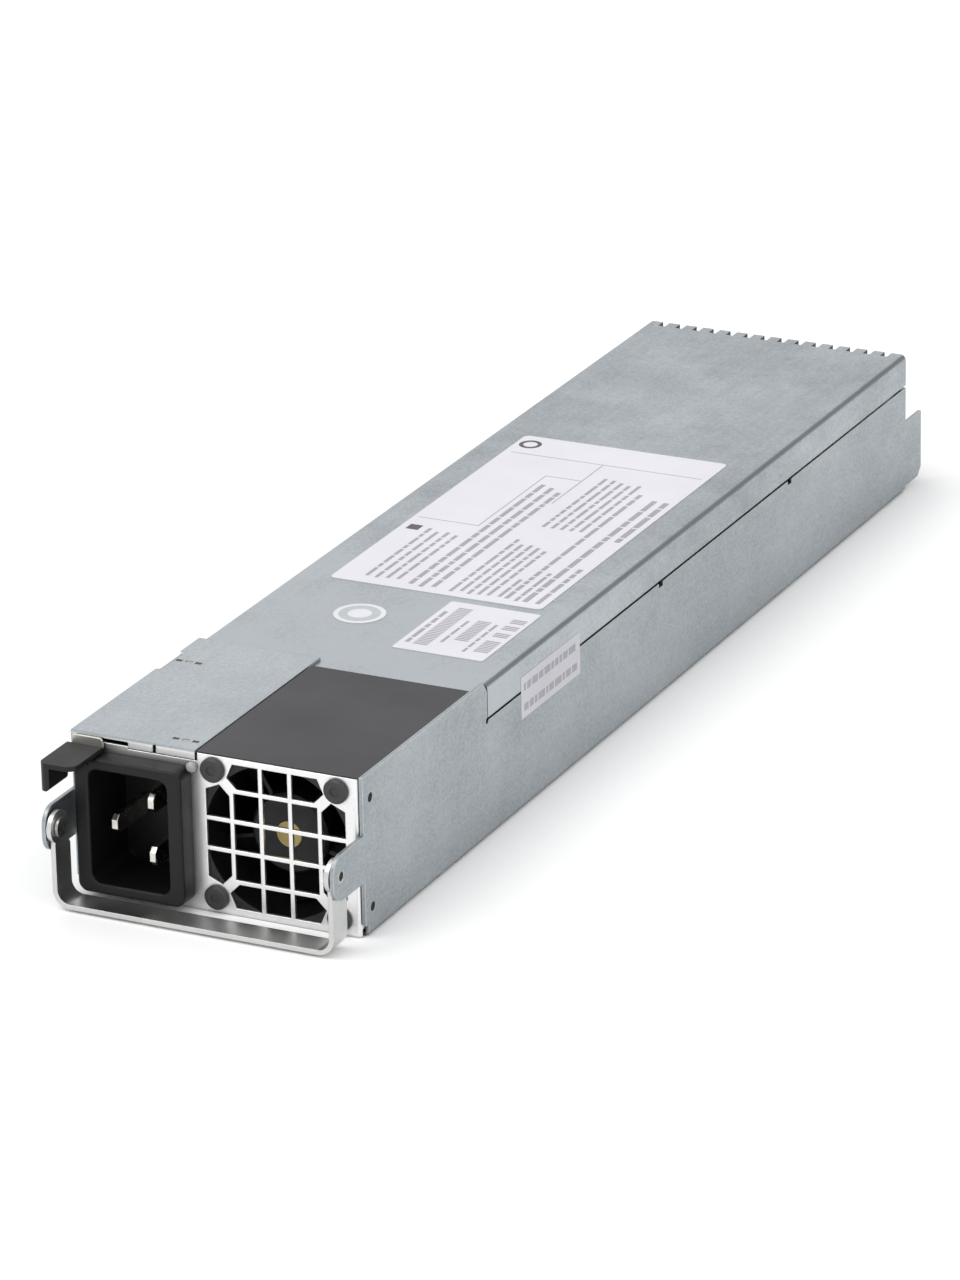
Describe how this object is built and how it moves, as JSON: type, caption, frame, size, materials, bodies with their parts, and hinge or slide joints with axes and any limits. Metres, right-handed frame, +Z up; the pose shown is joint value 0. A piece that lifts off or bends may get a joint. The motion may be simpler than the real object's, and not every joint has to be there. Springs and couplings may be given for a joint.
{
  "type": "hot swap server power supply",
  "caption": "Slim hot swap power supply with a grilled front fan, mains inlet, bail handle, thumb latch and rear edge plug.",
  "frame": {"origin": "centre of the flat underside of the base, midway between the front plate and the ends of the rear tabs", "axes": "+Y from the inlet and fan face back to the edge plug, +X to the fan side seen from behind the handle looking at the front, +Z up, away from the base"},
  "size_m": [0.0779, 0.3514, 0.04],
  "materials": {
    "galvanised_steel": "satin zinc coated sheet",
    "plate_steel": "bright zinc coated sheet",
    "spring_steel": "rolled stainless spring strip",
    "rivet_steel": "plated rivet",
    "black_film": "dark insulating film",
    "black_plastic": "moulded, fine texture",
    "black_rivet": "moulded nylon",
    "fan_black": "glass filled, moulded",
    "nickel_brass": "nickel plated brass",
    "clear_lens": "clear unlit lens",
    "circuit_board": "green solder mask",
    "gold_contact": "gold plated copper",
    "insulating_sheet": "fish paper",
    "board_brass": "turned brass",
    "screw_steel": "zinc plated screw",
    "wire_brown": "insulated wire",
    "wire_blue": "insulated wire",
    "wire_green": "insulated wire",
    "white_plastic": "moulded nylon",
    "ceramic_white": "ceramic tube with caps",
    "capacitor_yellow": "moulded case",
    "capacitor_sleeve": "shrink sleeve",
    "ferrite": "sintered ferrite",
    "core_green": "coated core",
    "enamel_copper": "enamelled copper wire",
    "tape_yellow": "polyester tape",
    "heatsink_aluminium": "extruded, clear",
    "epoxy_black": "moulded epoxy",
    "label_white": "blank satin label",
    "label_clear": "thin film label"
  },
  "bodies": {
    "chassis": {"base_shell": "galvanised_steel", "front_plate": "plate_steel", "inlet_cover_plate": "galvanised_steel", "top_cover": "galvanised_steel", "fan_film_upper": "black_film", "fan_film_lower": "black_film", "fan_frame_front": "fan_black", "fan_frame_rear": "fan_black", "fan_push_rivets": "black_rivet", "inlet_housing": "black_plastic", "inlet_pins": "nickel_brass", "status_light": "clear_lens", "handle_rivets": "rivet_steel", "latch_rivets": "rivet_steel", "insulation_sheet": "insulating_sheet", "main_board": "circuit_board", "edge_contacts": "gold_contact", "board_standoffs": "board_brass", "board_screws": "screw_steel", "wire_neutral": "wire_blue", "wire_line": "wire_brown", "wire_earth": "wire_green", "fan_leads": "wire_brown", "fan_socket": "white_plastic", "fuse": "ceramic_white", "relay": "epoxy_black", "filter_capacitors": "capacitor_yellow", "filter_choke_core": "core_green", "filter_choke_winding": "enamel_copper", "bulk_capacitors": "capacitor_sleeve", "boost_choke_core": "core_green", "boost_choke_winding": "enamel_copper", "input_heatsink": "heatsink_aluminium", "input_transistors": "epoxy_black", "bridge_rectifier": "epoxy_black", "transformer_core": "ferrite", "transformer_winding": "tape_yellow", "control_board": "circuit_board", "output_heatsink": "heatsink_aluminium", "output_transistors": "epoxy_black", "output_choke": "ferrite", "output_capacitors": "capacitor_sleeve", "rating_label": "label_white", "small_label": "label_white", "round_label": "label_white", "seal_label": "label_clear"},
    "handle": {"handle": "plate_steel"},
    "latch": {"latch_leaf": "spring_steel", "latch_touch": "black_plastic"},
    "front_rotor": {"fan_rotor_front": "fan_black"},
    "rear_rotor": {"fan_rotor_rear": "fan_black"}
  },
  "joints": [
    {"name": "handle_swing", "type": "hinge", "parent": "chassis", "child": "handle", "pos_m": [0, -0.1794, 0.0204], "axis": [-1, 0, 0], "range_deg": [0, 90]},
    {"name": "latch_press", "type": "hinge", "parent": "chassis", "child": "latch", "pos_m": [-0.0365, -0.1036, 0.0301], "axis": [0, 0, 1], "range_deg": [0, 3.5], "stiffness_Nm_per_rad": 0.6, "springref_deg": -114.59},
    {"name": "front_fan_spin", "type": "hinge", "parent": "chassis", "child": "front_rotor", "pos_m": [0.0154, -0.148, 0.02], "axis": [0, 1, 0], "continuous": true},
    {"name": "rear_fan_spin", "type": "hinge", "parent": "chassis", "child": "rear_rotor", "pos_m": [0.0154, -0.12, 0.02], "axis": [0, 1, 0], "continuous": true}
  ]
}
